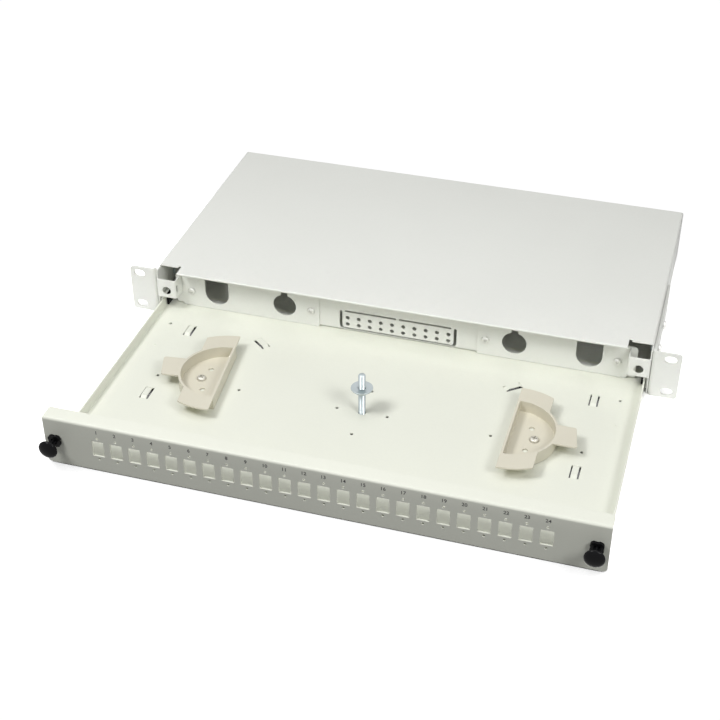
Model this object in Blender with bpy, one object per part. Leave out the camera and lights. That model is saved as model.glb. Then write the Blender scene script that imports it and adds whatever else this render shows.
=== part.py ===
"""A pull-out fibre patch panel for a 19 inch rack, one unit high, with its drawer out.

Units are metres. X runs to the right, Y to the back and Z up. The rack face of the
ears is at Y = 0 and the underside of the housing is at Z = 0. The model stands as it
is used: drawer fully out, both latch plungers pulled.
"""

import math

import bmesh
import bpy
from mathutils import Matrix, Vector

# Rack standard
RACK_WIDTH = 0.4826
UNIT_HEIGHT = 0.0437
RACK_HOLE_EDGE = 0.00875
RACK_HOLE_MARGIN = 0.005975
RACK_SLOT_LENGTH = 0.0102
RACK_SLOT_HEIGHT = 0.0068

# Sheet metal and clearances
SHEET = 0.0012
PANEL_SHEET = 0.0015
EAR_SHEET = 0.002
BEND = 0.0008
GAP = 0.0003

# Housing
HOUSING_DEPTH = 0.232
HEM_INSET = 0.0203
HEM_DEPTH = 0.009
CORNER_NOTCH = 0.010
RELIEF_WIDTH = 0.0025
RELIEF_DEPTH = 0.0025
RUNNER_SETBACK = 0.007

# Latch tabs of the housing and the push-pull latches
TAB_WIDTH = 0.0185
TAB_BOTTOM = 0.0165
TAB_HEIGHT = 0.018
TAB_RETURN = 0.014
TAB_NOTCH_RADIUS = 0.004
LATCH_INSET = 0.0093
LATCH_LEVEL = 0.0235
LATCH_BARREL = 0.0074
LATCH_BORE = 0.0054
LATCH_FLANGE = 0.0118
LATCH_FLANGE_THICKNESS = 0.0025
LATCH_LEGS = 0.009
LATCH_SLIT = 0.0012
LATCH_REACH = 0.001
PLUNGER_HEAD = 0.0155
PLUNGER_HEAD_THICKNESS = 0.004
PLUNGER_STROKE = 0.0084
PLUNGER_RIB = 0.0014

# Rack ears
EAR_FACE = 0.0240
EAR_LEG = 0.115
EAR_LEG_DROP = 0.0058
EAR_LEG_START = 0.0045
EAR_CORNER = 0.003
EAR_SCREW_PLACES = (0.037, 0.073)
EAR_SCREW_LEVEL = 0.022
EAR_SCREW = 0.004
EAR_SCREW_HEAD = 0.0076
EAR_NUT_WIDTH = 0.0076
EAR_NUT_THICKNESS = 0.002

# Drawer
TRAY_HELD = 0.030
STOP_GAP = 0.001
PANEL_INSET = 0.0003
PANEL_HEIGHT = 0.043
PANEL_FLANGE = 0.0135
PANEL_CORNER = 0.003
TRAY_FLANGE = 0.009
TRAY_LIP_RELIEF = 0.004
REAR_WALL_SETBACK = 0.015
REAR_WALL_INSET = 0.0123
REAR_WALL_TOP = 0.034
REAR_WALL_FOOT = 0.010
SHOE_LENGTH = 0.020
SHOE_THICKNESS = 0.002
SHOE_CAP = 0.0012
SHOE_END_GAP = 0.0015
SHOE_PEG = 0.003

# Ports in the front panel
PORTS = 24
PORT_MARGIN = 0.037
PORT_WIDTH = 0.0098
PORT_HEIGHT = 0.014
PORT_LEVEL = 0.022
PORT_SCREW_HOLE = 0.0022
PORT_SCREW_RISE = 0.0099

# Rear wall punching and cable entries; places count from the middle or from the plate's ends
ENTRY_INNER = 0.0705
ENTRY_END = 0.0066
ENTRY_LEVEL = 0.0193
KEYHOLE_INSET = 0.0318
KEYHOLE_RADIUS = 0.0106
KEYHOLE_NECK = 0.006
U_SLOT_INSET = 0.0327
U_SLOT_RADIUS = 0.011
ENTRY_SCREW_INSETS = (0.0072, 0.0088)
ENTRY_SCREW_LEVEL = 0.0185
ENTRY_SCREW = 0.003
ENTRY_SCREW_HEAD = 0.0068
ENTRY_MARGIN = 0.0105
ENTRY_CORNER = 0.002
TIE_HOLES = 10
TIE_ROWS = (0.0096, 0.0161)
TIE_PITCH = 0.010
TIE_HOLE = 0.0038
TIE_SLOT = 0.0017
TIE_SIDE_SLOT = 0.0026
TIE_FRAME_BESIDE = 0.006
TIE_FRAME_BELOW = 0.0044
TIE_FRAME_ABOVE = 0.0067
TIE_BRIDGE = 0.002
TIE_CORNER = 0.0035

# Tray floor; insets count from the housing's side, setbacks from the rear wall towards the front
FLOOR_HOLE = 0.0028
BRIDGE_LENGTH = 0.0155
BRIDGE_WIDTH = 0.005
BRIDGE_SLOT = 0.0013
BRIDGE_RISE = 0.0016
SIDE_BRIDGE_INSET = 0.0398
SIDE_BRIDGE_SETBACKS = (0.039, 0.1325)
SLANT_BRIDGE_INSET = 0.1069
SLANT_BRIDGE_SETBACK = 0.0397
SLANT_ANGLE = 39.0
EDGE_HOLE_INSET = 0.0193
EDGE_HOLE_SETBACK = 0.0335
MARK_SETBACK = 0.0675
GUIDE_REST_INSETS = (0.0389, 0.1113)

# Fibre guides
GUIDE_INSET = 0.0953
GUIDE_SETBACK = 0.1055
GUIDE_RADIUS = 0.0345
GUIDE_WALL = 0.002
GUIDE_FLOOR = 0.0013
GUIDE_HEIGHT = 0.0115
GUIDE_TAB = 0.0015
GUIDE_TAB_RADIUS = 0.0515
GUIDE_END_TAB = 0.0255
GUIDE_SIDE_TAB = 0.024
GUIDE_SIDE_SKEW = 0.0022
GUIDE_SCREW_PLACE = 0.0185
GUIDE_HOLE = 0.0046
GUIDE_HOLE_PLACE = (0.0140, 0.0140)
GUIDE_SCREW = 0.004
GUIDE_SCREW_HEAD = 0.0078
LEFT_GUIDE_TURN = 6.0

# Centre stud
STUD_SETBACK = 0.1075
STUD = 0.006
STUD_TOP = 0.0405
STUD_CROSS = (0.0212, 0.029)
NUT_ACROSS_FLATS = 0.010
NUT_THICKNESS = 0.0032
WASHER = 0.018
WASHER_THICKNESS = 0.0012
WASHER_LEVEL = 0.0268

# Places that follow from the sizes above
RACK_HOLE_RISE = UNIT_HEIGHT - 2 * RACK_HOLE_MARGIN
HALF = RACK_WIDTH / 2 - EAR_FACE
WALL_INSIDE = HALF - SHEET
LIP_HALF = HALF - HEM_INSET
EAR_INSIDE = HALF + GAP
LATCH_X = HALF - LATCH_INSET
TAB_INSIDE = HALF - TAB_WIDTH
LATCH_HOLE = LATCH_BARREL + 2 * GAP
RUNNER_OUTSIDE = WALL_INSIDE - GAP
TRAY_HALF = RUNNER_OUTSIDE - SHEET - GAP
SHOE_OUTSIDE = TRAY_HALF - SHEET - GAP
SHOE_INSIDE = SHOE_OUTSIDE - SHOE_THICKNESS
PANEL_HALF = HALF - PANEL_INSET
PORT_PITCH = 2 * (PANEL_HALF - PORT_MARGIN) / PORTS
REAR_WALL_HALF = HALF - REAR_WALL_INSET
ENTRY_OUTER = REAR_WALL_HALF - ENTRY_END
KEYHOLE_PLACE = ENTRY_INNER + KEYHOLE_INSET
U_SLOT_PLACE = ENTRY_OUTER - U_SLOT_INSET
ENTRY_SCREW_PLACES = (ENTRY_INNER + ENTRY_SCREW_INSETS[0], ENTRY_OUTER - ENTRY_SCREW_INSETS[1])
TRAVEL = HOUSING_DEPTH - TRAY_HELD
CLOSED_FACE = -(PANEL_FLANGE + STOP_GAP)
PANEL_FACE = CLOSED_FACE - TRAVEL
PANEL_BACK = PANEL_FACE + PANEL_SHEET
PANEL_BOTTOM = UNIT_HEIGHT - PANEL_HEIGHT
TRAY_FRONT = PANEL_BACK + GAP
TRAY_UNDERSIDE = SHEET + GAP
FLOOR = TRAY_UNDERSIDE + SHEET
TRAY_TOP = FLOOR + TRAY_FLANGE
CAP_TOP = TRAY_TOP + GAP + SHOE_CAP
RUNNER_HEIGHT = CAP_TOP + GAP + SHEET
REAR_WALL = TRAY_HELD - REAR_WALL_SETBACK
GUIDE_CENTRE = (HALF - GUIDE_INSET, REAR_WALL - GUIDE_SETBACK)
STUD_PLACE = REAR_WALL - STUD_SETBACK
ON_FLOOR = FLOOR + GAP
GUIDE_RIM = ON_FLOOR + GUIDE_HEIGHT
FLANGE_FRONT = PANEL_FACE - GAP - LATCH_FLANGE_THICKNESS
HEAD_BACK = FLANGE_FRONT - GAP - PLUNGER_STROKE
BARREL_END = PANEL_FACE - CLOSED_FACE + SHEET + LATCH_REACH
SHOE_LEVEL = (FLOOR + TRAY_TOP) / 2
TIE_FRAME_HALF = (TIE_HOLES - 1) / 2 * TIE_PITCH + TIE_FRAME_BESIDE
TIE_FRAME_BOTTOM = TIE_ROWS[0] - TIE_FRAME_BELOW
TIE_FRAME_TOP = TIE_ROWS[1] + TIE_FRAME_ABOVE
NUT_TOP = WASHER_LEVEL - GAP
BEYOND = 0.002


def arc(centre, radius, start, end, steps):
    """Points along an arc, angles in degrees."""
    angles = [math.radians(start + (end - start) * i / steps) for i in range(steps + 1)]
    return [(centre[0] + radius * math.cos(a), centre[1] + radius * math.sin(a)) for a in angles]


def circle(centre, diameter, steps=16):
    return arc(centre, diameter / 2, 0, 360 - 360 / steps, steps - 1)


def box(u_low, u_high, v_low, v_high):
    return [(u_low, v_low), (u_high, v_low), (u_high, v_high), (u_low, v_high)]


def obround(centre, length, height, steps=6):
    """A slot with round ends, longer along its first axis."""
    run = (length - height) / 2
    right = arc((centre[0] + run, centre[1]), height / 2, -90, 90, steps)
    left = arc((centre[0] - run, centre[1]), height / 2, 90, 270, steps)
    return right + left


def corner(point, radius, u_side, v_side):
    """What a rounded corner takes off a plate; the sides are +1 or -1, out of the plate."""
    u, v = point
    centre = (u - u_side * radius, v - v_side * radius)
    turn = 0 if u_side * v_side > 0 else 90
    base = {(1, 1): 0, (-1, 1): 90, (-1, -1): 180, (1, -1): 270}[(u_side, v_side)]
    curve = arc(centre, radius, base, base + 90, 4)
    if turn:
        curve.reverse()
    outer = [
        (centre[0], v + v_side * BEYOND),
        (u + u_side * BEYOND, v + v_side * BEYOND),
        (u + u_side * BEYOND, centre[1]),
    ]
    return curve + outer


def rounded(points, radii, closed=True, steps=3):
    """The outline or path with each corner rounded to its radius."""
    count = len(points)
    result = []
    for i, point in enumerate(points):
        radius = radii[i] if isinstance(radii, list) else radii
        is_end = not closed and i in (0, count - 1)
        if is_end or radius <= 0:
            result.append(tuple(point))
            continue
        here = Vector(point)
        before = (Vector(points[i - 1]) - here).normalized()
        after = (Vector(points[(i + 1) % count]) - here).normalized()
        half = before.angle(after) / 2
        centre = here + (before + after).normalized() * radius / math.sin(half)
        first = here + before * radius / math.tan(half) - centre
        last = here + after * radius / math.tan(half) - centre
        sweep = first.angle_signed(last)
        for k in range(steps + 1):
            spoke = first.copy()
            spoke.rotate(Matrix.Rotation(-sweep * k / steps, 2))
            result.append(tuple(centre + spoke))
    return result


def bent_strip(path, thickness, bend=BEND):
    """The section of a bent sheet: one face follows path and the metal lies to its left."""
    runs = [(Vector(b) - Vector(a)).normalized() for a, b in zip(path, path[1:])]
    lefts = [Vector((-run.y, run.x)) for run in runs]
    back = [Vector(path[0]) + lefts[0] * thickness]
    face_radii = [0.0]
    back_radii = [0.0]
    for i in range(1, len(path) - 1):
        turn = runs[i - 1].x * runs[i].y - runs[i - 1].y * runs[i].x
        mitre = (lefts[i - 1] + lefts[i]) / (1 + lefts[i - 1].dot(lefts[i]))
        back.append(Vector(path[i]) + mitre * thickness)
        face_radii.append(bend + thickness if turn > 0 else bend)
        back_radii.append(bend if turn > 0 else bend + thickness)
    back.append(Vector(path[-1]) + lefts[-1] * thickness)
    face_radii.append(0.0)
    back_radii.append(0.0)
    face = rounded(path, face_radii, closed=False)
    return face + rounded(back, back_radii, closed=False)[::-1]


def prism(section, axis, low, high, mesh=None):
    """The section, drawn in the two axes across, run from low to high along the axis."""
    mesh = mesh or bmesh.new()
    place = {
        "X": lambda u, v: (low, u, v),
        "Y": lambda u, v: (u, low, v),
        "Z": lambda u, v: (u, v, low),
    }[axis]
    face = mesh.faces.new([mesh.verts.new(place(u, v)) for u, v in section])
    made = bmesh.ops.extrude_face_region(mesh, geom=[face])["geom"]
    moved = [item for item in made if isinstance(item, bmesh.types.BMVert)]
    step = {"X": (1, 0, 0), "Y": (0, 1, 0), "Z": (0, 0, 1)}[axis]
    bmesh.ops.translate(mesh, verts=moved, vec=Vector(step) * (high - low))
    return mesh


def prisms(sections, axis, low, high):
    mesh = bmesh.new()
    for section in sections:
        prism(section, axis, low, high, mesh)
    return mesh


def turned(profile, steps=16):
    """A round solid about Z from its radius and height points, axis to axis."""
    mesh = bmesh.new()
    points = [mesh.verts.new((radius, 0, height)) for radius, height in profile]
    edges = [mesh.edges.new(pair) for pair in zip(points, points[1:])]
    bmesh.ops.spin(
        mesh,
        geom=points + edges,
        cent=(0, 0, 0),
        axis=(0, 0, 1),
        angle=2 * math.pi,
        steps=steps,
        use_merge=True,
    )
    bmesh.ops.remove_doubles(mesh, verts=mesh.verts, dist=1e-6)
    return mesh


def material(name, colour, roughness, metallic=0.0):
    found = bpy.data.materials.get(name)
    if found:
        return found
    made = bpy.data.materials.new(name)
    made.use_nodes = True
    shader = made.node_tree.nodes["Principled BSDF"]
    shader.inputs["Base Color"].default_value = (*colour, 1.0)
    shader.inputs["Roughness"].default_value = roughness
    shader.inputs["Metallic"].default_value = metallic
    return made


def powder_coat():
    return material("light_grey_powder_coat", (0.76, 0.77, 0.74), 0.55)


def zinc_plate():
    return material("zinc_plate", (0.60, 0.64, 0.67), 0.28, 1.0)


def black_nylon():
    return material("black_nylon", (0.012, 0.012, 0.013), 0.32)


def beige_plastic():
    return material("beige_plastic", (0.74, 0.68, 0.56), 0.5)


def piece(name, mesh, finish, parent=None, smooth=False):
    """An object in the scene from a bmesh, with its faces turned outwards."""
    bmesh.ops.recalc_face_normals(mesh, faces=mesh.faces)
    data = bpy.data.meshes.new(name)
    mesh.to_mesh(data)
    mesh.free()
    if finish:
        data.materials.append(finish)
    if smooth:
        data.shade_smooth()
        data.set_sharp_from_angle(angle=math.radians(35))
    made = bpy.data.objects.new(name, data)
    bpy.context.scene.collection.objects.link(made)
    made.parent = parent
    return made


def combine(body, mesh, operation):
    """Adds a Boolean with a helper that moves with the body and isn't rendered."""
    helper = piece(f"{body.name}_{operation.lower()}", mesh, None, parent=body)
    helper.hide_render = True
    helper.display_type = "WIRE"
    modifier = body.modifiers.new(helper.name, "BOOLEAN")
    modifier.operation = operation
    modifier.solver = "EXACT"
    modifier.object = helper


def cut(body, mesh):
    combine(body, mesh, "DIFFERENCE")


def add(body, mesh):
    combine(body, mesh, "UNION")


def carrier(name, place, parent=None):
    """An empty that carries the pieces of one moving body."""
    made = bpy.data.objects.new(name, None)
    bpy.context.scene.collection.objects.link(made)
    made.parent = parent
    made.location = place
    return made


def on_both_sides(section):
    return [section, [(-u, v) for u, v in section]]


def screw(name, size, head, head_height, length, recess, parent):
    """A pan-head screw about Z: the head stands on Z = 0 and the shank hangs below it."""
    profile = [
        (0, -length),
        (size / 2 - size / 8, -length),
        (size / 2, -length + size / 8),
        (size / 2, 0),
        (head / 2, 0),
        (head / 2, head_height * 0.45),
        (head / 2 * 0.86, head_height * 0.82),
        (head / 2 * 0.55, head_height),
        (0, head_height),
    ]
    made = piece(name, turned(profile, 14), zinc_plate(), parent, smooth=True)
    arm = recess / 2
    web = recess / 9
    cross = [
        (arm, -web), (arm, web), (web, web), (web, arm),
        (-web, arm), (-web, web), (-arm, web), (-arm, -web),
        (-web, -web), (-web, -arm), (web, -arm), (web, -web),
    ]
    cut(made, prism(cross, "Z", head_height * 0.35, head_height + BEYOND))
    return made


# Housing


def housing_shell():
    """The top and both sides in one bent sheet, with a latch tab at each front corner."""
    path = [(HALF, 0), (HALF, UNIT_HEIGHT), (-HALF, UNIT_HEIGHT), (-HALF, 0)]
    walls = prism(bent_strip(path, SHEET), "Y", SHEET + BEND, HOUSING_DEPTH)
    shell = piece("housing_shell", walls, powder_coat())
    notch_edge = LIP_HALF + RELIEF_WIDTH
    relief_end = CORNER_NOTCH + RELIEF_DEPTH
    notch = [
        (LIP_HALF, -BEYOND),
        (HALF + BEYOND, -BEYOND),
        (HALF + BEYOND, CORNER_NOTCH),
        (notch_edge, CORNER_NOTCH),
        (notch_edge, relief_end),
        (LIP_HALF, relief_end),
    ]
    bend_end = UNIT_HEIGHT - SHEET - BEND
    cut(shell, prisms(on_both_sides(notch), "Z", bend_end, UNIT_HEIGHT + BEYOND))
    fold = arc((SHEET, UNIT_HEIGHT - SHEET), SHEET, 90, 270, 6)
    hem = fold + [(HEM_DEPTH, UNIT_HEIGHT - 2 * SHEET), (HEM_DEPTH, UNIT_HEIGHT)]
    add(shell, prism(hem, "X", -LIP_HALF, LIP_HALF))
    tab = bent_strip(
        [(TAB_INSIDE, TAB_RETURN), (TAB_INSIDE, 0), (HALF, 0), (HALF, 3 * (SHEET + BEND))], SHEET
    )
    add(shell, prisms(on_both_sides(tab), "Z", TAB_BOTTOM, TAB_BOTTOM + TAB_HEIGHT))
    latch_holes = on_both_sides(circle((LATCH_X, LATCH_LEVEL), LATCH_HOLE))
    cut(shell, prisms(latch_holes, "Y", -BEYOND, SHEET + BEYOND))
    middle = TAB_BOTTOM + TAB_HEIGHT / 2
    scoop = arc((SHEET + BEND / 2, middle), TAB_NOTCH_RADIUS, -90, 90, 10)
    holes = [circle((y, EAR_SCREW_LEVEL), EAR_SCREW + 2 * GAP) for y in EAR_SCREW_PLACES]
    for side in (-1, 1):
        cut(shell, through_wall([scoop], side, TAB_INSIDE, TAB_INSIDE + SHEET))
        cut(shell, through_wall(holes, side, WALL_INSIDE, HALF))


def through_wall(sections, side, inside, outside):
    """A cutter through an upright wall on one side, running past both its faces."""
    near, far = sorted((side * (inside - BEYOND), side * (outside + BEYOND)))
    return prisms(sections, "X", near, far)


def base_plate():
    """The floor, with its edges folded up and in over the drawer's sides to make its runners."""
    lip = SHOE_OUTSIDE
    path = [
        (-lip, RUNNER_HEIGHT),
        (-RUNNER_OUTSIDE, RUNNER_HEIGHT),
        (-RUNNER_OUTSIDE, 0),
        (RUNNER_OUTSIDE, 0),
        (RUNNER_OUTSIDE, RUNNER_HEIGHT),
        (lip, RUNNER_HEIGHT),
    ]
    plate = piece("base_plate", prism(bent_strip(path, SHEET), "Y", 0, HOUSING_DEPTH), powder_coat())
    fold = RUNNER_OUTSIDE - SHEET - BEND
    notch = box(fold, HALF, -BEYOND, RUNNER_SETBACK)
    cut(plate, prisms(on_both_sides(notch), "Z", -BEYOND, RUNNER_HEIGHT + BEYOND))


def side_name(side):
    return "left" if side < 0 else "right"


# Rack ears


def rack_ear(side):
    """An angle bracket: the rack face in front and a lower, long leg along the housing's side."""
    section = bent_strip(
        [(EAR_INSIDE, EAR_LEG), (EAR_INSIDE, 0), (RACK_WIDTH / 2, 0)], EAR_SHEET, EAR_SHEET / 2
    )
    if side < 0:
        section = [(-u, v) for u, v in section]
    ear = piece(f"rack_ear_{side_name(side)}", prism(section, "Z", 0, UNIT_HEIGHT), powder_coat())
    punches = []
    slot_place = RACK_WIDTH / 2 - RACK_HOLE_EDGE
    for rise in (-1, 1):
        level = UNIT_HEIGHT / 2 + rise * RACK_HOLE_RISE / 2
        punches.append(obround((side * slot_place, level), RACK_SLOT_LENGTH, RACK_SLOT_HEIGHT))
        edge = UNIT_HEIGHT if rise > 0 else 0
        punches.append(corner((side * RACK_WIDTH / 2, edge), EAR_CORNER, side, rise))
    cut(ear, prisms(punches, "Y", -BEYOND, EAR_SHEET + BEYOND))
    outside = EAR_INSIDE + EAR_SHEET
    leg_top = UNIT_HEIGHT - EAR_LEG_DROP
    drops = [
        box(EAR_LEG_START, EAR_LEG + BEYOND, -BEYOND, EAR_LEG_DROP),
        box(EAR_LEG_START, EAR_LEG + BEYOND, leg_top, UNIT_HEIGHT + BEYOND),
    ]
    cut(ear, through_wall(drops, side, EAR_INSIDE, outside))
    leg_punches = [circle((y, EAR_SCREW_LEVEL), EAR_SCREW + 2 * GAP) for y in EAR_SCREW_PLACES]
    leg_punches.append(corner((EAR_LEG, EAR_LEG_DROP), EAR_CORNER, 1, -1))
    leg_punches.append(corner((EAR_LEG, leg_top), EAR_CORNER, 1, 1))
    cut(ear, through_wall(leg_punches, side, EAR_INSIDE, outside))


def ear_screw(side, index, y):
    """Runs through the ear's leg and the side wall into a clinch nut."""
    head_seat = EAR_INSIDE + EAR_SHEET + GAP
    nut_end = WALL_INSIDE - GAP - EAR_NUT_THICKNESS
    name = f"ear_screw_{side_name(side)}_{index}"
    height = EAR_SCREW_HEAD * 0.36
    made = screw(name, EAR_SCREW, EAR_SCREW_HEAD, height, head_seat - nut_end, EAR_SCREW, None)
    made.location = (side * head_seat, y, EAR_SCREW_LEVEL)
    made.rotation_euler = (0, side * math.pi / 2, 0)


def ear_nut(side, index, y):
    """The clinch nut inside the wall."""
    hole = circle((0, 0), EAR_SCREW + 2 * GAP)
    rim = EAR_NUT_WIDTH / 2
    chamfer = EAR_NUT_THICKNESS / 8
    profile = [
        (0, 0), (rim, 0), (rim, EAR_NUT_THICKNESS - chamfer),
        (rim - chamfer, EAR_NUT_THICKNESS), (0, EAR_NUT_THICKNESS),
    ]
    made = piece(f"ear_nut_{side_name(side)}_{index}", turned(profile), zinc_plate(), smooth=True)
    cut(made, prism(hole, "Z", -BEYOND, EAR_NUT_THICKNESS + BEYOND))
    made.location = (side * (WALL_INSIDE - GAP), y, EAR_SCREW_LEVEL)
    made.rotation_euler = (0, -side * math.pi / 2, 0)


# Drawer


def drawer_tray(drawer):
    """The floor with low turned-up sides and front lip, punched and lanced for cable ties."""
    sides = bent_strip(
        [
            (-TRAY_HALF, TRAY_TOP),
            (-TRAY_HALF, TRAY_UNDERSIDE),
            (TRAY_HALF, TRAY_UNDERSIDE),
            (TRAY_HALF, TRAY_TOP),
        ],
        SHEET,
    )
    mesh = prism(sides, "Y", TRAY_FRONT + SHEET + BEND, TRAY_HELD)
    tray = piece("drawer_tray", mesh, powder_coat(), drawer)
    lip = bent_strip(
        [
            (TRAY_FRONT, TRAY_TOP),
            (TRAY_FRONT, TRAY_UNDERSIDE),
            (TRAY_FRONT + 3 * (SHEET + BEND), TRAY_UNDERSIDE),
        ],
        SHEET,
    )
    lip_half = TRAY_HALF - TRAY_LIP_RELIEF
    add(tray, prism(lip, "X", -lip_half, lip_half))
    cut(tray, prisms(tray_punches(), "Z", TRAY_UNDERSIDE - BEYOND, FLOOR + BEYOND))
    add(tray, tie_bridges())
    mark = circle((HALF - EDGE_HOLE_INSET, REAR_WALL - MARK_SETBACK), FLOOR_HOLE, 10)
    cut(tray, prisms(on_both_sides(mark), "Z", FLOOR - SHEET / 3, FLOOR + BEYOND))
    pegs = [circle((y, SHOE_LEVEL), SHOE_PEG + 2 * GAP, 12) for y in shoe_pegs()]
    for side in (-1, 1):
        cut(tray, through_wall(pegs, side, TRAY_HALF - SHEET, TRAY_HALF))


def bridge_places():
    """Where each lanced bridge stands and how far it is turned, in degrees."""
    places = []
    for side in (-1, 1):
        for setback in SIDE_BRIDGE_SETBACKS:
            places.append((side * (HALF - SIDE_BRIDGE_INSET), REAR_WALL - setback, 90.0))
        slant = (side * (HALF - SLANT_BRIDGE_INSET), REAR_WALL - SLANT_BRIDGE_SETBACK)
        places.append((*slant, side * SLANT_ANGLE))
    return places


def tray_punches():
    """Every opening in the tray's floor, seen from above."""
    cross_x, cross_y = STUD_CROSS
    round_places = [(0, STUD_PLACE - cross_y), (0, STUD_PLACE + cross_y)]
    for side in (-1, 1):
        round_places.append((side * cross_x, STUD_PLACE))
        round_places.append((side * (HALF - EDGE_HOLE_INSET), REAR_WALL - EDGE_HOLE_SETBACK))
        round_places += [(side * (HALF - inset), STUD_PLACE) for inset in GUIDE_REST_INSETS]
    shapes = [circle(place, FLOOR_HOLE, 10) for place in round_places]
    shapes.append(circle((0, STUD_PLACE), STUD + 2 * GAP))
    for frame in guide_frames():
        place = frame @ Vector((GUIDE_SCREW_PLACE, 0, 0))
        shapes.append(circle((place.x, place.y), GUIDE_SCREW + 2 * GAP, 12))
    half_length = BRIDGE_LENGTH / 2
    half_width = BRIDGE_WIDTH / 2 + BRIDGE_SLOT
    for x, y, turn in bridge_places():
        window = box(-half_length, half_length, -half_width, half_width)
        spin = Matrix.Rotation(math.radians(turn), 2)
        shapes.append([tuple(spin @ Vector(point) + Vector((x, y))) for point in window])
    return shapes


def tie_bridges():
    """The raised strips of the lanced bridges, rooted in the floor at both ends."""
    thickness = SHEET * 0.6
    root = FLOOR - SHEET * 0.2
    ridge = FLOOR + BRIDGE_RISE
    ramp = BRIDGE_RISE * 1.6
    end = BRIDGE_LENGTH / 2
    half = [(end + SHEET, root), (end, root), (end - ramp, ridge)]
    path = half + [(-u, v) for u, v in reversed(half)]
    section = bent_strip(path, thickness, BEND / 2)
    whole = bmesh.new()
    for x, y, turn in bridge_places():
        strip = prism(section, "Y", -BRIDGE_WIDTH / 2, BRIDGE_WIDTH / 2)
        place = Matrix.Translation((x, y, 0)) @ Matrix.Rotation(math.radians(turn), 4, "Z")
        bmesh.ops.transform(strip, verts=strip.verts, matrix=place)
        held = bpy.data.meshes.new("strip")
        strip.to_mesh(held)
        strip.free()
        whole.from_mesh(held)
        bpy.data.meshes.remove(held)
    return whole


def front_panel(drawer):
    """The face with its 24 adapter openings and the flange along its top."""
    section = bent_strip(
        [(PANEL_FACE + PANEL_FLANGE, UNIT_HEIGHT), (PANEL_FACE, UNIT_HEIGHT), (PANEL_FACE, PANEL_BOTTOM)],
        PANEL_SHEET,
    )
    panel = piece("front_panel", prism(section, "X", -PANEL_HALF, PANEL_HALF), powder_coat(), drawer)
    punches = on_both_sides(circle((LATCH_X, LATCH_LEVEL), LATCH_HOLE))
    for side in (-1, 1):
        punches.append(corner((side * PANEL_HALF, PANEL_BOTTOM), PANEL_CORNER, side, -1))
    port_levels = (PORT_LEVEL - PORT_HEIGHT / 2, PORT_LEVEL + PORT_HEIGHT / 2)
    for number in range(PORTS):
        x = (number - (PORTS - 1) / 2) * PORT_PITCH
        punches.append(box(x - PORT_WIDTH / 2, x + PORT_WIDTH / 2, *port_levels))
        for rise in (-PORT_SCREW_RISE, PORT_SCREW_RISE):
            punches.append(circle((x, PORT_LEVEL + rise), PORT_SCREW_HOLE, 8))
    cut(panel, prisms(punches, "Y", PANEL_FACE - BEYOND, PANEL_BACK + BEYOND))
    back_edge = PANEL_FACE + PANEL_FLANGE
    ends = [corner((side * PANEL_HALF, back_edge), PANEL_CORNER * 0.6, side, 1) for side in (-1, 1)]
    cut(panel, prisms(ends, "Z", UNIT_HEIGHT - PANEL_SHEET - BEYOND, UNIT_HEIGHT + BEYOND))


def rear_wall(drawer):
    """Closes the drawer behind: the tie block in the middle and a low sill behind each cable entry."""
    section = bent_strip(
        [(REAR_WALL, REAR_WALL_TOP), (REAR_WALL, ON_FLOOR), (REAR_WALL + REAR_WALL_FOOT, ON_FLOOR)], SHEET
    )
    wall_mesh = prism(section, "X", -REAR_WALL_HALF, REAR_WALL_HALF)
    wall = piece("drawer_rear_wall", wall_mesh, powder_coat(), drawer)
    punches = tie_block()
    sill = ENTRY_LEVEL - U_SLOT_RADIUS - GAP
    window = [
        (ENTRY_INNER + ENTRY_MARGIN, sill),
        (ENTRY_SCREW_PLACES[1] - ENTRY_MARGIN / 2, sill),
        (ENTRY_SCREW_PLACES[1] - ENTRY_MARGIN / 2, REAR_WALL_TOP + BEYOND),
        (ENTRY_INNER + ENTRY_MARGIN, REAR_WALL_TOP + BEYOND),
    ]
    punches += on_both_sides(rounded(window, [BEND, BEND, 0.0, 0.0]))
    for x in ENTRY_SCREW_PLACES:
        punches += on_both_sides(circle((x, ENTRY_SCREW_LEVEL), ENTRY_SCREW + 2 * GAP, 12))
    for side in (-1, 1):
        punches.append(corner((side * REAR_WALL_HALF, REAR_WALL_TOP), PANEL_CORNER, side, 1))
    cut(wall, prisms(punches, "Y", REAR_WALL - BEYOND, REAR_WALL + SHEET + BEYOND / 2))


def tie_block():
    """Two rows of round holes inside a frame of slots, for tying cables down."""
    shapes = []
    for level in TIE_ROWS:
        for number in range(TIE_HOLES):
            x = (number - (TIE_HOLES - 1) / 2) * TIE_PITCH
            shapes.append(circle((x, level), TIE_HOLE, 10))
    inner = TIE_FRAME_HALF - TIE_CORNER
    upper = (TIE_BRIDGE / 2 + inner) / 2
    shapes += on_both_sides(obround((upper, TIE_FRAME_TOP), inner - TIE_BRIDGE / 2, TIE_SLOT, 4))
    shapes.append(tie_channel())
    return shapes


def tie_channel():
    """The slot along the bottom of the tie block and up both its sides."""
    reach = TIE_SIDE_SLOT / 2
    far = TIE_FRAME_HALF + reach
    near = TIE_FRAME_HALF - reach
    bottom = TIE_FRAME_BOTTOM - TIE_SLOT / 2
    level = TIE_FRAME_BOTTOM + TIE_SLOT / 2
    right = [(far, bottom), (far, TIE_FRAME_TOP), (near, TIE_FRAME_TOP), (near, level)]
    left = [(-u, v) for u, v in reversed(right)]
    end = reach * 0.9
    inside = TIE_CORNER - reach
    return rounded(right + left, [TIE_CORNER, end, end, inside, inside, end, end, TIE_CORNER])


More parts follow.
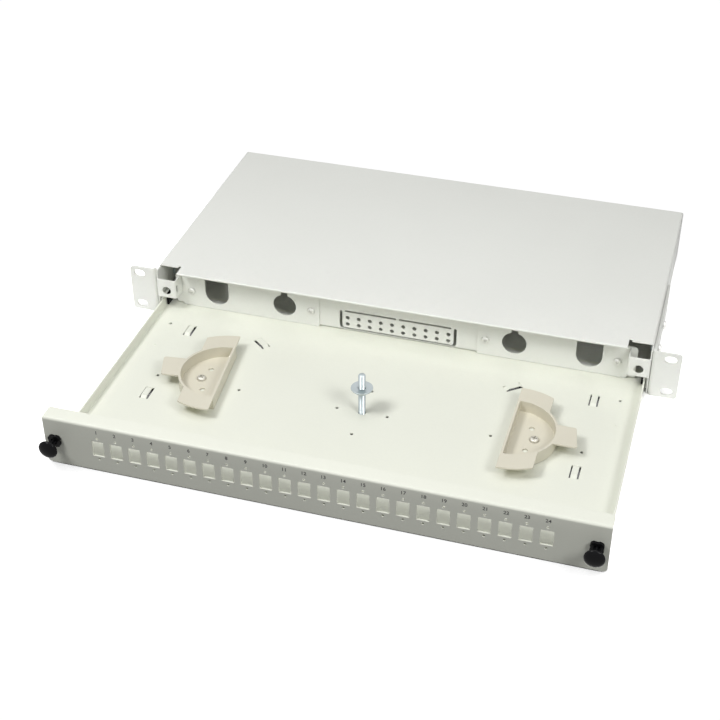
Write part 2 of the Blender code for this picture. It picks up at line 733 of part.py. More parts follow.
def cable_entry_plate(drawer, side):
    """A plate over the sill with a U slot and a keyhole, both open at the top."""
    top = REAR_WALL_TOP
    slot = arc((U_SLOT_PLACE, ENTRY_LEVEL), U_SLOT_RADIUS, 0, -180, 12)
    reach = math.degrees(math.asin(KEYHOLE_NECK / 2 / KEYHOLE_RADIUS))
    keyhole = arc((KEYHOLE_PLACE, ENTRY_LEVEL), KEYHOLE_RADIUS, 90 - reach, -270 + reach, 16)
    outline = [(ENTRY_INNER, ON_FLOOR), (ENTRY_OUTER, ON_FLOOR), (ENTRY_OUTER, top)]
    outline += [(U_SLOT_PLACE + U_SLOT_RADIUS, top), *slot, (U_SLOT_PLACE - U_SLOT_RADIUS, top)]
    outline += [(KEYHOLE_PLACE + KEYHOLE_NECK / 2, top), *keyhole, (KEYHOLE_PLACE - KEYHOLE_NECK / 2, top)]
    outline.append((ENTRY_INNER, top))
    outline = [(side * u, v) for u, v in outline]
    back = REAR_WALL - GAP
    name = f"cable_entry_plate_{side_name(side)}"
    plate = piece(name, prism(outline, "Y", back - SHEET, back), powder_coat(), drawer)
    holes = [circle((side * x, ENTRY_SCREW_LEVEL), ENTRY_SCREW + 2 * GAP, 12) for x in ENTRY_SCREW_PLACES]
    punches = holes + [
        corner((side * ENTRY_INNER, ON_FLOOR), ENTRY_CORNER, -side, -1),
        corner((side * ENTRY_INNER, top), ENTRY_CORNER, -side, 1),
        corner((side * ENTRY_OUTER, ON_FLOOR), ENTRY_CORNER, side, -1),
    ]
    cut(plate, prisms(punches, "Y", back - SHEET - BEYOND, back + BEYOND))


def entry_plate_screw(drawer, side, index, x):
    """Holds a cable entry plate to the rear wall."""
    seat = REAR_WALL - 2 * GAP - SHEET
    length = 2 * GAP + 2 * SHEET + 0.0015
    name = f"entry_plate_screw_{side_name(side)}_{index}"
    height = ENTRY_SCREW_HEAD * 0.3
    made = screw(name, ENTRY_SCREW, ENTRY_SCREW_HEAD, height, length, ENTRY_SCREW, drawer)
    made.location = (side * x, seat, ENTRY_SCREW_LEVEL)
    made.rotation_euler = (math.pi / 2, 0, 0)


def shoe_back():
    return TRAY_HELD - SHOE_END_GAP


def shoe_pegs():
    """How far back the two pegs of a slide shoe stand."""
    middle = shoe_back() - SHOE_LENGTH / 2
    return [middle - SHOE_LENGTH / 4, middle + SHOE_LENGTH / 4]


def slide_shoe(drawer, side):
    """A nylon shoe pegged to the tray's side, its cap between the side's edge and the runner's lip."""
    section = [
        (side * SHOE_INSIDE, ON_FLOOR),
        (side * SHOE_OUTSIDE, ON_FLOOR),
        (side * SHOE_OUTSIDE, TRAY_TOP + GAP),
        (side * TRAY_HALF, TRAY_TOP + GAP),
        (side * TRAY_HALF, CAP_TOP),
        (side * SHOE_INSIDE, CAP_TOP),
    ]
    end = shoe_back()
    mesh = prism(section, "Y", end - SHOE_LENGTH, end)
    shoe = piece(f"slide_shoe_{side_name(side)}", mesh, black_nylon(), drawer)
    root, tip = sorted((side * (SHOE_INSIDE + SHOE_OUTSIDE) / 2, side * TRAY_HALF))
    pegs = [circle((y, SHOE_LEVEL), SHOE_PEG, 12) for y in shoe_pegs()]
    add(shoe, prisms(pegs, "X", root, tip))


# Fibre guides


def guide_frames():
    """Where each guide's own axes lie: the same moulding, the left one turned half round."""
    x, y = GUIDE_CENTRE
    right = Matrix.Translation((x, y, 0))
    turn = Matrix.Rotation(math.radians(180 + LEFT_GUIDE_TURN), 4, "Z")
    screw_place = Vector((-x - GUIDE_SCREW_PLACE, y + BRIDGE_RISE, 0))
    left = Matrix.Translation(screw_place - turn @ Vector((GUIDE_SCREW_PLACE, 0, 0))) @ turn
    return [left, right]


def half_moon(radius, flat, rounding):
    """A half disc about the guide's origin, its flat side at -flat."""
    lean = math.degrees(math.asin(flat / radius)) if flat else 0
    curve = arc((0, 0), radius, -90 - lean, 90 + lean, 24)
    start = (curve[0][0], curve[0][1])
    if not rounding:
        return curve
    low = [(start[0], start[1] + rounding), (start[0] + rounding * 0.3, start[1] + rounding * 0.3)]
    high = [(p[0], -p[1]) for p in reversed(low)]
    return low + curve[2:-2] + high


def fibre_guide(drawer, side, frame):
    """A half-moon tub that fibre is wound round, with three flat tabs at its rim to keep it down."""
    outer_radius = GUIDE_RADIUS + GUIDE_WALL
    outer = half_moon(outer_radius, GUIDE_WALL, 0)
    mesh = prism(outer, "Z", ON_FLOOR, GUIDE_RIM)
    guide = piece(f"fibre_guide_{side_name(side)}", mesh, beige_plastic(), drawer)
    reach = GUIDE_TAB_RADIUS
    first = math.degrees(math.acos(-GUIDE_WALL / reach))
    last = math.degrees(math.acos(GUIDE_END_TAB / reach))
    rim_curve = arc((0, 0), reach, first, last, 8)
    end_tab = [(-GUIDE_WALL, GUIDE_RADIUS - GUIDE_WALL), *rim_curve]
    end_tab.append((GUIDE_END_TAB, math.sqrt(GUIDE_RADIUS**2 - GUIDE_END_TAB**2)))
    half = GUIDE_SIDE_TAB / 2
    side_tab = [
        (GUIDE_RADIUS - 3 * GUIDE_WALL, -half),
        (reach + GUIDE_SIDE_SKEW, -half),
        (reach - GUIDE_SIDE_SKEW, half),
        (GUIDE_RADIUS - 3 * GUIDE_WALL, half),
    ]
    side_tab = rounded(side_tab, [0.0, GUIDE_WALL, GUIDE_WALL, 0.0])
    tabs = [end_tab, [(u, -v) for u, v in reversed(end_tab)], side_tab]
    add(guide, prisms(tabs, "Z", GUIDE_RIM - GUIDE_TAB, GUIDE_RIM))
    inner_floor = ON_FLOOR + GUIDE_FLOOR
    cavity = half_moon(GUIDE_RADIUS, 0, GUIDE_WALL / 2)
    cut(guide, prism(cavity, "Z", inner_floor, GUIDE_RIM + BEYOND))
    x, y = GUIDE_HOLE_PLACE
    holes = [circle((x, y), GUIDE_HOLE, 12), circle((x, -y), GUIDE_HOLE, 12)]
    holes.append(circle((GUIDE_SCREW_PLACE, 0), GUIDE_SCREW + 2 * GAP, 12))
    cut(guide, prisms(holes, "Z", ON_FLOOR - BEYOND, inner_floor + BEYOND))
    guide.matrix_local = frame


def guide_screw(drawer, side, frame):
    """Holds a guide down to the tray."""
    seat = ON_FLOOR + GUIDE_FLOOR + GAP
    name = f"guide_screw_{side_name(side)}"
    height = GUIDE_SCREW_HEAD * 0.3
    length = seat - TRAY_UNDERSIDE
    made = screw(name, GUIDE_SCREW, GUIDE_SCREW_HEAD, height, length, GUIDE_SCREW, drawer)
    place = frame @ Vector((GUIDE_SCREW_PLACE, 0, 0))
    made.location = (place.x, place.y, seat)
    made.rotation_euler = (0, 0, math.radians(35 * side))


# Centre stud


def centre_stud(drawer):
    """A threaded stud pressed into the tray's floor for stacking splice trays."""
    radius = STUD / 2
    chamfer = STUD / 10
    profile = [
        (0, TRAY_UNDERSIDE),
        (radius, TRAY_UNDERSIDE),
        (radius, STUD_TOP - chamfer),
        (radius - chamfer, STUD_TOP),
        (0, STUD_TOP),
    ]
    made = piece("centre_stud", turned(profile, 20), zinc_plate(), drawer, smooth=True)
    made.location = (0, STUD_PLACE, 0)


def stud_nut(height_setting):
    """A thin hexagon nut under the washer; turning it sets the height."""
    corner_radius = NUT_ACROSS_FLATS / math.sqrt(3)
    bottom = NUT_TOP - NUT_THICKNESS
    hexagon = arc((0, 0), corner_radius, 0, 300, 5)
    nut = piece("stud_nut", prism(hexagon, "Z", bottom, NUT_TOP), zinc_plate(), height_setting)
    cut(nut, prism(circle((0, 0), STUD + 2 * GAP, 20), "Z", bottom - BEYOND, NUT_TOP + BEYOND))


def stud_washer(height_setting):
    """A wide washer that a splice tray rests on."""
    top = WASHER_LEVEL + WASHER_THICKNESS
    disc = prism(circle((0, 0), WASHER, 32), "Z", WASHER_LEVEL, top)
    washer = piece("stud_washer", disc, zinc_plate(), height_setting, smooth=True)
    cut(washer, prism(circle((0, 0), STUD + 2 * GAP, 20), "Z", WASHER_LEVEL - BEYOND, top + BEYOND))


# Push-pull latches


def latch_grommet(drawer, side):
    """The split nylon grommet: a four-lobed flange on the panel's face and a barrel through it."""
    name = f"latch_grommet_{side_name(side)}"
    lobe = LATCH_FLANGE * 0.27
    offset = LATCH_FLANGE / 2 - lobe
    outline = []
    for quarter in range(4):
        angle = 45 + 90 * quarter
        centre = (offset * math.cos(math.radians(angle)), offset * math.sin(math.radians(angle)))
        outline += arc(centre, lobe, angle - 75, angle + 75, 6)
    mesh = prism(outline, "Y", FLANGE_FRONT, PANEL_FACE - GAP)
    grommet = piece(name, mesh, black_nylon(), drawer)
    add(grommet, prism(circle((0, 0), LATCH_BARREL, 20), "Y", PANEL_FACE - 2 * GAP, BARREL_END))
    cut(grommet, prism(circle((0, 0), LATCH_BORE, 20), "Y", FLANGE_FRONT - BEYOND, BARREL_END + BEYOND))
    half_slit = LATCH_SLIT / 2
    reach = LATCH_BARREL
    slits = [box(-half_slit, half_slit, -reach, reach)]
    cut(grommet, prism(slits[0], "Y", BARREL_END - LATCH_LEGS, BARREL_END + BEYOND))
    level = [(v, u) for u, v in slits[0]]
    cut(grommet, prism(level, "Y", BARREL_END - LATCH_LEGS, BARREL_END + BEYOND))
    grommet.location = (side * LATCH_X, 0, LATCH_LEVEL)


def latch_plunger(axis, side):
    """The plunger: a domed head to push or pull and a ribbed pin that spreads the barrel's legs."""
    radius = PLUNGER_HEAD / 2
    thick = PLUNGER_HEAD_THICKNESS
    profile = [
        (0, 0),
        (radius * 0.86, 0),
        (radius * 0.97, thick * 0.12),
        (radius, thick * 0.30),
        (radius * 0.97, thick * 0.50),
        (radius * 0.86, thick * 0.70),
        (radius * 0.66, thick * 0.86),
        (radius * 0.38, thick * 0.97),
        (0, thick),
    ]
    head = turned(profile, 24)
    bmesh.ops.transform(head, verts=head.verts, matrix=Matrix.Rotation(math.pi / 2, 4, "X"))
    bmesh.ops.translate(head, verts=head.verts, vec=(0, HEAD_BACK, 0))
    plunger = piece(f"latch_plunger_{side_name(side)}", head, black_nylon(), axis, smooth=True)
    arm = LATCH_BORE / 2 - GAP
    web = PLUNGER_RIB / 2
    cross = [
        (arm, -web), (arm, web), (web, web), (web, arm),
        (-web, arm), (-web, web), (-arm, web), (-arm, -web),
        (-web, -web), (-web, -arm), (web, -arm), (web, -web),
    ]
    tip = BARREL_END - PLUNGER_STROKE - GAP
    add(plunger, prism(cross, "Y", HEAD_BACK - thick / 3, tip))


def main():
    for old in list(bpy.data.objects):
        bpy.data.objects.remove(old)
    housing_shell()
    base_plate()
    drawer = carrier("drawer", (0, 0, 0))
    drawer_tray(drawer)
    front_panel(drawer)
    rear_wall(drawer)
    height_setting = carrier("height_setting", (0, STUD_PLACE, 0), drawer)
    centre_stud(drawer)
    stud_nut(height_setting)
    stud_washer(height_setting)
    for side, frame in zip((-1, 1), guide_frames()):
        fibre_guide(drawer, side, frame)
        guide_screw(drawer, side, frame)
    for side in (-1, 1):
        rack_ear(side)
        slide_shoe(drawer, side)
        cable_entry_plate(drawer, side)
        latch_grommet(drawer, side)
        latch_axis = carrier(f"latch_axis_{side_name(side)}", (side * LATCH_X, 0, LATCH_LEVEL), drawer)
        latch_plunger(latch_axis, side)
        for index, y in enumerate(EAR_SCREW_PLACES, 1):
            ear_screw(side, index, y)
            ear_nut(side, index, y)
        for index, x in enumerate(ENTRY_SCREW_PLACES, 1):
            entry_plate_screw(drawer, side, index, x)


main()
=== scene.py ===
import math

import bmesh
import bpy
from mathutils import Matrix, Vector


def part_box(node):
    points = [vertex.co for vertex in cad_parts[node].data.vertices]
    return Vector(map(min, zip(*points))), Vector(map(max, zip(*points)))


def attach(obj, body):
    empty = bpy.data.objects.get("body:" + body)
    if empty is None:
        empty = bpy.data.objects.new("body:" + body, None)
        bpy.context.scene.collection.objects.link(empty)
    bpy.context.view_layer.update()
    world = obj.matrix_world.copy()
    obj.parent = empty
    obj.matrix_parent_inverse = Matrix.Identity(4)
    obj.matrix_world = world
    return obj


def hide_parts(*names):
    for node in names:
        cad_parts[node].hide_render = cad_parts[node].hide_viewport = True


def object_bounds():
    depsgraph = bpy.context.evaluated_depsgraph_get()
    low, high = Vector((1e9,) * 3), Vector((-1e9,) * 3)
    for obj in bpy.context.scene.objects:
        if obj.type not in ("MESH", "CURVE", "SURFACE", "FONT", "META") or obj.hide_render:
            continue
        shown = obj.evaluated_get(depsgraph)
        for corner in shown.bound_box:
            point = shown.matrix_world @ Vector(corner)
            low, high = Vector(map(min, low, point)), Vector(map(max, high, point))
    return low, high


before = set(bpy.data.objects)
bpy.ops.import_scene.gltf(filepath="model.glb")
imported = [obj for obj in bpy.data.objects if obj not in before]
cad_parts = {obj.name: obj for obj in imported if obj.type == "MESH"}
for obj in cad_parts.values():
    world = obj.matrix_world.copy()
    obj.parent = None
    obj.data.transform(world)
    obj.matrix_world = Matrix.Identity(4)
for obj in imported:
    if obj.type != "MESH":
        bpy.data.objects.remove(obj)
cad_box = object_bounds()


# Studio: a table top that is white beside the object and dark card around, so that no light
# comes up from in front. Soft boxes stand left, right and above, with a low strip in front.
# The camera stands in front of the panel, a little to its right, and looks down on it.
scene = bpy.context.scene
scene.view_settings.view_transform = "Standard"

lens_data = bpy.data.cameras.new("camera")
lens_data.lens = 70.19
lens_data.sensor_width = 36.0
lens_data.clip_start = 0.01
camera = bpy.data.objects.new("camera", lens_data)
scene.collection.objects.link(camera)
azimuth = math.radians(16.714)
elevation = math.radians(35.980)
roll = math.radians(-0.176)
forward = Vector(
    (
        -math.sin(azimuth) * math.cos(elevation),
        math.cos(azimuth) * math.cos(elevation),
        -math.sin(elevation),
    )
)
right = forward.cross(Vector((0, 0, 1))).normalized()
upward = right.cross(forward)
rolled_right = math.cos(roll) * right + math.sin(roll) * upward
rolled_up = math.cos(roll) * upward - math.sin(roll) * right
camera.matrix_world = Matrix.Translation((0.2556, -0.9489, 0.7038)) @ Matrix(
    (
        (rolled_right.x, rolled_up.x, -forward.x, 0),
        (rolled_right.y, rolled_up.y, -forward.y, 0),
        (rolled_right.z, rolled_up.z, -forward.z, 0),
        (0, 0, 0, 1),
    )
)
scene.camera = camera


def soft_box(name, place, target, width, height, power, spread=180.0):
    data = bpy.data.lights.new(name, "AREA")
    data.spread = math.radians(spread)
    data.shape = "RECTANGLE"
    data.size = width
    data.size_y = height
    data.energy = power
    lamp = bpy.data.objects.new(name, data)
    scene.collection.objects.link(lamp)
    aim = (Vector(target) - Vector(place)).to_track_quat("-Z", "Y")
    lamp.matrix_world = Matrix.Translation(place) @ aim.to_matrix().to_4x4()


soft_box("soft_box_left", (-0.56, -0.577, 1.10), (0, -0.05, 0), 0.38, 0.38, 8.6)
soft_box("soft_box_right", (0.87, -0.66, 0.92), (0, -0.05, 0), 0.42, 0.42, 6.4)
soft_box("soft_box_top", (0.0, -0.10, 1.00), (0, 0.0, 0), 1.0, 0.5, 2.9)
soft_box("strip_with_grid", (0.0, -0.80, 0.376), (0, 0.0, 0.02), 1.1, 0.03, 0.020, 5.0)


class Wire:
    """A socket of a material's tree; sums on it add Math nodes, and node adds any other."""

    def __init__(self, tree, socket=None):
        self.tree = tree
        self.socket = socket

    def node(self, kind, settings, links, output=0):
        made = self.tree.nodes.new(kind)
        for name, value in settings.items():
            setattr(made, name, value)
        for name, value in links.items():
            if isinstance(value, Wire):
                self.tree.links.new(value.socket, made.inputs[name])
            else:
                made.inputs[name].default_value = value
        return Wire(self.tree, made.outputs[output])

    def maths(self, operation, second=0.0):
        return self.node("ShaderNodeMath", {"operation": operation}, {0: self, 1: second})

    def __add__(self, other):
        return self.maths("ADD", other)

    def __sub__(self, other):
        return self.maths("SUBTRACT", other)

    def __rsub__(self, other):
        return self.node("ShaderNodeMath", {"operation": "SUBTRACT"}, {0: other, 1: self})

    def __mul__(self, other):
        return self.maths("MULTIPLY", other)

    __radd__ = __add__
    __rmul__ = __mul__

    def place(self):
        return self.node("ShaderNodeTexCoord", {}, {}, "Object")

    def noise(self, place, scale, detail=2.0):
        return self.node(
            "ShaderNodeTexNoise", {}, {"Vector": place, "Scale": scale, "Detail": detail}, 0
        )

    def between(self, amount, first, second):
        """A colour from first to second as the amount goes from 0 to 1."""
        return self.node(
            "ShaderNodeMix",
            {"data_type": "RGBA"},
            {0: amount, 6: (*first, 1.0), 7: (*second, 1.0)},
            2,
        )


def finish(name, constants, varying):
    """A material: constants go straight on the shader's sockets, varying builds the rest."""
    made = bpy.data.materials.new(name)
    made.use_nodes = True
    tree = made.node_tree
    shader = tree.nodes["Principled BSDF"]
    for socket, value in constants.items():
        shader.inputs[socket].default_value = value
    for socket, wire in varying(Wire(tree)).items():
        tree.links.new(wire.socket, shader.inputs[socket])
    return made


def seen_directly(build):
    """1 for the camera's rays and those by way of mirrors and glass, and 0 for all others."""
    first = build.node("ShaderNodeLightPath", {}, {}, "Is Camera Ray")
    rays = first.socket.node
    seen = first + Wire(build.tree, rays.outputs["Is Glossy Ray"])
    seen = seen + Wire(build.tree, rays.outputs["Is Transmission Ray"])
    return seen.maths("MINIMUM", 1.0)


world = bpy.data.worlds.new("studio")
world.use_nodes = True
scene.world = world
sky = Wire(world.node_tree)
room_light = (0.165, 0.165, 0.165)
sky_colour = sky.between(seen_directly(sky), room_light, (1, 1, 1))
world.node_tree.links.new(
    sky_colour.socket, world.node_tree.nodes["Background"].inputs["Color"]
)


def rises(value, low, high):
    """0 below low and 1 above high, with an even slope between."""
    return value.node(
        "ShaderNodeMapRange", {"clamp": True}, {0: value, 1: low, 2: high, 3: 0.0, 4: 1.0}
    )


card_edge = 0.012
table_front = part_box("front_panel")[0][1] + 0.006
under_half = 0.195
under_front = cad_box[0][1] + 0.038
under_back = cad_box[1][1] - 0.014
painted_shade_reach = 0.05


def white_table(build):
    """Dark card with white beside the object; to the eye, a white glow, with painted shade where
    the object covers it.
    """
    place = build.node("ShaderNodeSeparateXYZ", {}, {"Vector": build.place()}, "X")
    along = Wire(build.tree, place.socket.node.outputs["Y"])
    table = rises(along, table_front - 0.004, table_front)
    across = place.maths("ABSOLUTE") - under_half
    beyond = (under_front - along).maths("MAXIMUM", along - under_back)
    outside = rises(across.maths("MAXIMUM", beyond), 0.0, card_edge)
    table = table * outside * rises(under_back - along, 0.0, card_edge)
    # Painted shade: the glow fades where ambient occlusion finds the object close above, so a
    # contact shade is painted on the floor; beside the object the lamps' real shadow also falls
    # on its white.
    occlusion_for_painted_shade = build.node(
        "ShaderNodeAmbientOcclusion", {"samples": 8}, {"Distance": painted_shade_reach}, "AO"
    )
    glow_with_painted_shade = rises(occlusion_for_painted_shade, 0.25, 0.45) * seen_directly(build)
    return {
        "Base Color": build.between(table, (0.04, 0.04, 0.04), (0.95, 0.95, 0.95)),
        "Emission Color": build.between(glow_with_painted_shade * (1.0 - table * 0.3), (0, 0, 0), (1, 1, 1)),
    }


table_half = 6
table_top = -0.0002
corners = [(-1, -1), (1, -1), (1, 1), (-1, 1)]
table_mesh = bpy.data.meshes.new("table")
table_mesh.from_pydata(
    [(x * table_half, y * table_half, table_top) for x, y in corners], [], [(0, 1, 2, 3)]
)
table = bpy.data.objects.new("table", table_mesh)
scene.collection.objects.link(table)
matt = {"Roughness": 1.0, "Specular IOR Level": 0.0, "Emission Strength": 1.0}
table_mesh.materials.append(finish("white_table_top", matt, white_table))


# Housing: one steel sheet bent over as top and sides, and a floor with folded runners.
# Both are punched, folded, spot-welded and powder-coated light grey, which leaves every
# edge slightly round and the skin with a fine orange peel.
def powder(name, dull, bright):
    """Powder coat between two close tones of one colour, mottled, with an orange peel."""

    def skin(build):
        place = build.place()
        cloud = build.noise(place, 9.0, 3.0)
        speck = build.noise(place, 420.0, 2.0)
        peel = build.noise(place, 1100.0, 1.0)
        colour = build.between(cloud * 0.7 + speck * 0.3, dull, bright)
        bump = build.node(
            "ShaderNodeBump", {}, {"Strength": 0.12, "Distance": 0.0002, "Height": peel}
        )
        return {"Base Color": colour, "Roughness": speck * 0.14 + 0.42, "Normal": bump}

    return finish(name, {"Specular IOR Level": 0.42}, skin)


grey_coat = powder("light_grey_powder_coat", (0.755, 0.765, 0.722), (0.835, 0.845, 0.802))


def merged_copy(node, faceted=True):
    """A CAD node's mesh with its loose triangles joined, and if faceted into flat faces."""
    mesh = bmesh.new()
    mesh.from_mesh(bpy.data.objects[node].data)
    bmesh.ops.remove_doubles(mesh, verts=mesh.verts, dist=2e-6)
    if faceted:
        bmesh.ops.dissolve_limit(
            mesh, angle_limit=math.radians(0.6), verts=mesh.verts, edges=mesh.edges
        )
    return mesh


def dress(name, mesh, body, material, edge=0.0, segments=2, smooth=38):
    """A finished piece from a mesh, on its body, its sharp edges rounded by edge."""
    data = bpy.data.meshes.new(name)
    mesh.to_mesh(data)
    mesh.free()
    piece = bpy.data.objects.new(name, data)
    scene.collection.objects.link(piece)
    data.materials.append(material)
    data.shade_smooth()
    if edge:
        bevel = piece.modifiers.new("rounded_edges", "BEVEL")
        bevel.width = edge
        bevel.segments = segments
        bevel.limit_method = "ANGLE"
        bevel.angle_limit = math.radians(40)
        bevel.use_clamp_overlap = True
        flat_first = piece.modifiers.new("flat_faces_stay_flat", "WEIGHTED_NORMAL")
        flat_first.weight = 100
        graph = bpy.context.evaluated_depsgraph_get()
        rounded = bpy.data.meshes.new_from_object(piece.evaluated_get(graph))
        piece.modifiers.clear()
        piece.data = rounded
        rounded.name = name
    else:
        data.set_sharp_from_angle(angle=math.radians(smooth))
    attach(piece, body)
    return piece


def coated(node, body, coat, edge=0.00025, faceted=True):
    piece = dress("coated_" + node, merged_copy(node, faceted), body, coat, edge)
    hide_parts(node)


coated("housing_shell", "housing", grey_coat)
coated("base_plate", "housing", grey_coat)


# Rack ears: 2 mm angle brackets with two slots each for the rack's screws.
# They are pressed from the same coated steel and screwed to the housing's sides.
for side in ("left", "right"):
    coated("rack_ear_" + side, "housing", grey_coat, 0.0004)


# Drawer: floor, front panel, rear wall and the two cable entry plates.
# All are punched from the same sheet as the housing and coated before they are joined.
cream_coat = powder("cream_grey_powder_coat", (0.752, 0.766, 0.678), (0.830, 0.844, 0.754))
coated("drawer_tray", "drawer", cream_coat, faceted=False)
coated("front_panel", "drawer", cream_coat, faceted=False)
coated("drawer_rear_wall", "drawer", grey_coat, faceted=False)
for side in ("left", "right"):
    coated("cable_entry_plate_" + side, "drawer", grey_coat)


# Port numbers: 1 to 24 screen-printed in black ink above the adapter openings.
# The ink is a skin a few hundredths of a millimetre thick.
def ink_skin(build):
    place = build.place()
    grain = build.noise(place, 2500.0, 2.0)
    colour = build.between(grain, (0.010, 0.010, 0.011), (0.035, 0.035, 0.037))
    return {"Base Color": colour, "Roughness": grain * 0.2 + 0.4}


ink = finish("black_ink", {"Specular IOR Level": 0.4}, ink_skin)
panel_low, panel_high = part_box("front_panel")
panel_face = panel_low[1]
ports = 24
end_width = 0.037
port_pitch = (panel_high[0] - panel_low[0] - 2 * end_width) / ports
number_height = 0.0378
ink_thickness = 0.00002
numbers = bmesh.new()
for number in range(1, ports + 1):
    text = bpy.data.curves.new("number", "FONT")
    text.body = str(number)
    text.size = 0.0043
    text.offset = 0.00006
    text.align_x = "CENTER"
    text.align_y = "CENTER"
    text.extrude = ink_thickness
    text.resolution_u = 4
    written = bpy.data.objects.new("number", text)
    scene.collection.objects.link(written)
    flat = bpy.data.meshes.new_from_object(
        written.evaluated_get(bpy.context.evaluated_depsgraph_get())
    )
    x = (number - (ports + 1) / 2) * port_pitch
    place = Matrix.Translation((x, panel_face - ink_thickness, number_height))
    flat.transform(place @ Matrix.Rotation(math.pi / 2, 4, "X"))
    numbers.from_mesh(flat)
    bpy.data.objects.remove(written)
    bpy.data.meshes.remove(flat)
bmesh.ops.remove_doubles(numbers, verts=numbers.verts, dist=1e-6)
bmesh.ops.recalc_face_normals(numbers, faces=numbers.faces)
dress("port_numbers", numbers, "drawer", ink)


# Fibre guides: half-moon tubs moulded in beige plastic, with satin walls.
# Every edge is rounded by the mould, and each is screwed down to the tray.
def moulded_beige(build):
    place = build.place()
    flow = build.noise(place, 22.0, 2.0)
    grain = build.noise(place, 1600.0, 1.0)
    colour = build.between(flow, (0.645, 0.614, 0.505), (0.710, 0.678, 0.566))
    bump = build.node(
        "ShaderNodeBump", {}, {"Strength": 0.10, "Distance": 0.0001, "Height": grain}
    )
    return {"Base Color": colour, "Roughness": flow * 0.12 + 0.34, "Normal": bump}


beige = finish("beige_plastic", {"Specular IOR Level": 0.45}, moulded_beige)
for side in ("left", "right"):
    node = "fibre_guide_" + side
    tub = merged_copy(node)
    guide = dress("moulded_" + node, tub, "drawer", beige, 0.00035, 3)
    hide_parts(node)


# Latches: push-pull plungers in split grommets, moulded in glossy black nylon.
# Pushing the domed head in spreads the grommet's legs behind the housing's tab.
def moulded_black(build):
    place = build.place()
    flow = build.noise(place, 60.0, 2.0)
    colour = build.between(flow, (0.004, 0.004, 0.005), (0.009, 0.009, 0.010))
    return {"Base Color": colour, "Roughness": flow * 0.12 + 0.12}


black = finish("black_nylon", {"Specular IOR Level": 0.09}, moulded_black)
for side in ("left", "right"):
    for node, body, edge in (
        ("latch_grommet_" + side, "drawer", 0.0003),
        ("latch_plunger_" + side, "latch_plunger_" + side, 0.00025),
        ("slide_shoe_" + side, "drawer", 0.0004),
    ):
        part = dress("moulded_" + node, merged_copy(node), body, black, edge, 3, 50)
        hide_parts(node)


# Centre stud: an M6 rod pressed into the tray, with a nut and a wide washer on it.
# All three are turned or punched steel with a bright bluish zinc plate.
def plate(name, metallic, dull, bright, roughness):
    """Plating between two tones, clouded, with fine scratches that vary its gloss."""

    def skin(build):
        place = build.place()
        cloud = build.noise(place, 130.0, 3.0)
        scratch = build.noise(place, 900.0, 2.0)
        colour = build.between(cloud, dull, bright)
        return {"Base Color": colour, "Roughness": scratch * 0.14 + roughness}

    return finish(name, {"Metallic": metallic}, skin)


zinc = plate("zinc_plate", 1.0, (0.44, 0.50, 0.52), (0.55, 0.60, 0.61), 0.28)


def threaded_rod(radius, pitch, bottom, top, place):
    """A rod about Z whose skin follows the thread's helix, with chamfered ends."""
    around = 28
    rows_each_turn = 8
    rows = int((top - bottom) / pitch * rows_each_turn)
    depth = pitch * 0.54
    mesh = bmesh.new()
    rings = []
    for row in range(rows + 1):
        height = bottom + (top - bottom) * row / rows
        ring = []
        for step in range(around):
            turn = step / around
            phase = (height / pitch - turn) % 1.0
            groove = depth * (1 - abs(2 * phase - 1))
            end = min(height - bottom, top - height)
            skin = min(radius - groove, radius - depth * 1.1 + end)
            angle = 2 * math.pi * turn
            ring.append(mesh.verts.new((skin * math.cos(angle), skin * math.sin(angle), height)))
        rings.append(ring)
    for low, high in zip(rings, rings[1:]):
        for step in range(around):
            after = (step + 1) % around
            mesh.faces.new((low[step], low[after], high[after], high[step]))
    mesh.faces.new(rings[0][::-1])
    mesh.faces.new(rings[-1])
    bmesh.ops.translate(mesh, verts=mesh.verts, vec=place)
    return mesh


stud_radius = 0.003
stud_pitch = 0.001
stud_low, stud_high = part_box("centre_stud")
stud_middle = (Vector(stud_low) + Vector(stud_high)) / 2
rod = threaded_rod(stud_radius, stud_pitch, stud_low[2], stud_high[2], (0, stud_middle.y, 0))
stud = dress("threaded_stud", rod, "drawer", zinc, 0, 2, 60)
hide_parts("centre_stud")
for node, edge in (("stud_washer", 0.0003), ("stud_nut", 0.0004)):
    plated = dress("plated_" + node, merged_copy(node), node, zinc, edge, 3)
    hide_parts(node)


# Screws: pan heads with a cross recess and a rolled thread, cold-headed in plated steel.
# They hold the ears to the housing, the entry plates to the rear wall and the guides down.
# One shape in three sizes; each stands with its cross turned as the driver left it.
nickel = plate("nickel_plate", 0.85, (0.70, 0.70, 0.68), (0.82, 0.82, 0.79), 0.34)
# The guide screws' nickel is dull and rough, and its beige tint is a painted reflection of the
# beige guides around them.
nickel_with_painted_reflection = plate("beige_tinted_nickel_painted_reflection", 0.75, (0.54, 0.53, 0.47), (0.64, 0.62, 0.56), 0.46)

screw_tree = bpy.data.node_groups.new("pan_head_screws", "GeometryNodeTree")
screw_inputs = {}
for title, kind in (
    ("Places", "NodeSocketGeometry"),
    ("Head Radius", "NodeSocketFloat"),
    ("Head Height", "NodeSocketFloat"),
    ("Shank Radius", "NodeSocketFloat"),
    ("Shank Length", "NodeSocketFloat"),
    ("Thread Pitch", "NodeSocketFloat"),
    ("Thread Rows", "NodeSocketInt"),
    ("Recess Width", "NodeSocketFloat"),
    ("Plating", "NodeSocketMaterial"),
):
    socket = screw_tree.interface.new_socket(title, in_out="INPUT", socket_type=kind)
    screw_inputs[title] = socket.identifier
screw_tree.interface.new_socket("Screws", in_out="OUTPUT", socket_type="NodeSocketGeometry")
given_node = screw_tree.nodes.new("NodeGroupInput")
given = {title: Wire(screw_tree, given_node.outputs[title]) for title in screw_inputs}
steel = Wire(screw_tree)


